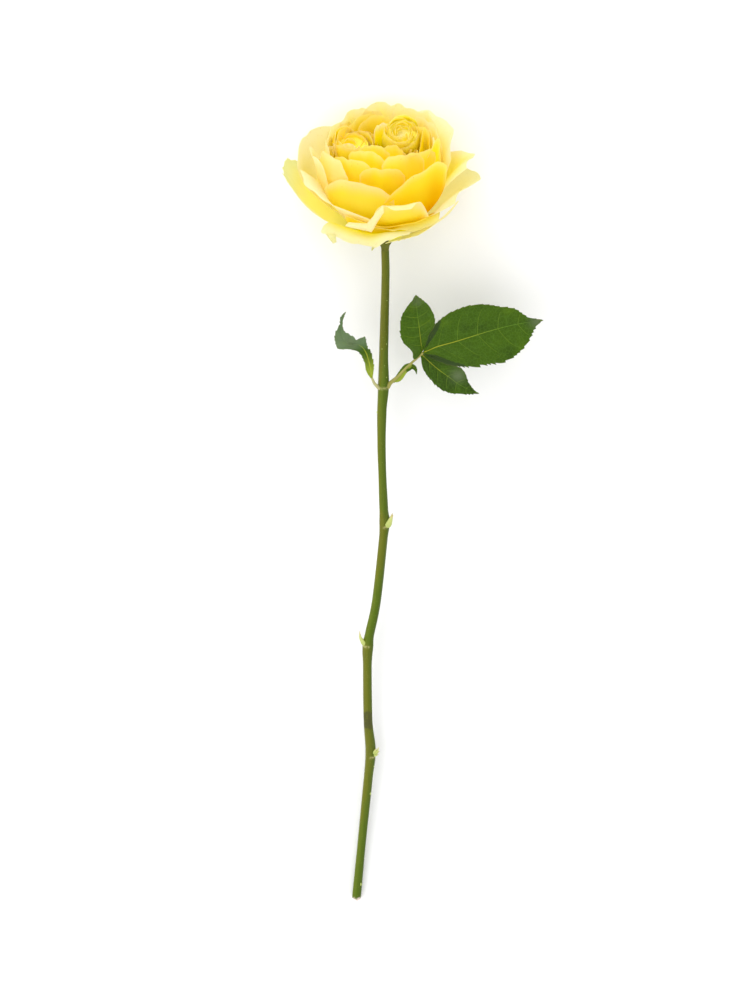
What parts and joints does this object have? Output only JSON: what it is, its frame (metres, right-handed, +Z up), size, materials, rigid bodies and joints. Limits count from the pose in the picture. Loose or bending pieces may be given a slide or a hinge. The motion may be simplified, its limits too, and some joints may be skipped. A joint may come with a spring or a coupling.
{
  "type": "cut rose",
  "caption": "Cut garden rose with a full cupped yellow bloom, a slender thornless stem and one three-part toothed leaf, lying down.",
  "frame": {"origin": "on the surface that the rose lies on, under the middle of its bounding box", "axes": "+Z up from the surface, +Y along the stem towards the bloom, +X towards the side with the large leaf"},
  "size_m": [0.1276, 0.4122, 0.0763],
  "materials": {
    "petal": "soft matt petal, deep golden at the foot and pale cream at the margin",
    "calyx": "matt, finely downy",
    "stem": "waxy green with darker bark rings and scars",
    "leaf": "satin, veined",
    "leaf_underside": "matt grey green, veined",
    "bud": "satin scale"
  },
  "bodies": {
    "root": {"petals": "petal", "calyx": "calyx", "stem": "stem", "leaf": "leaf", "small_leaf": "leaf_underside", "bud_upper": "bud", "bud_middle": "bud", "bud_lower": "bud"}
  },
  "joints": []
}
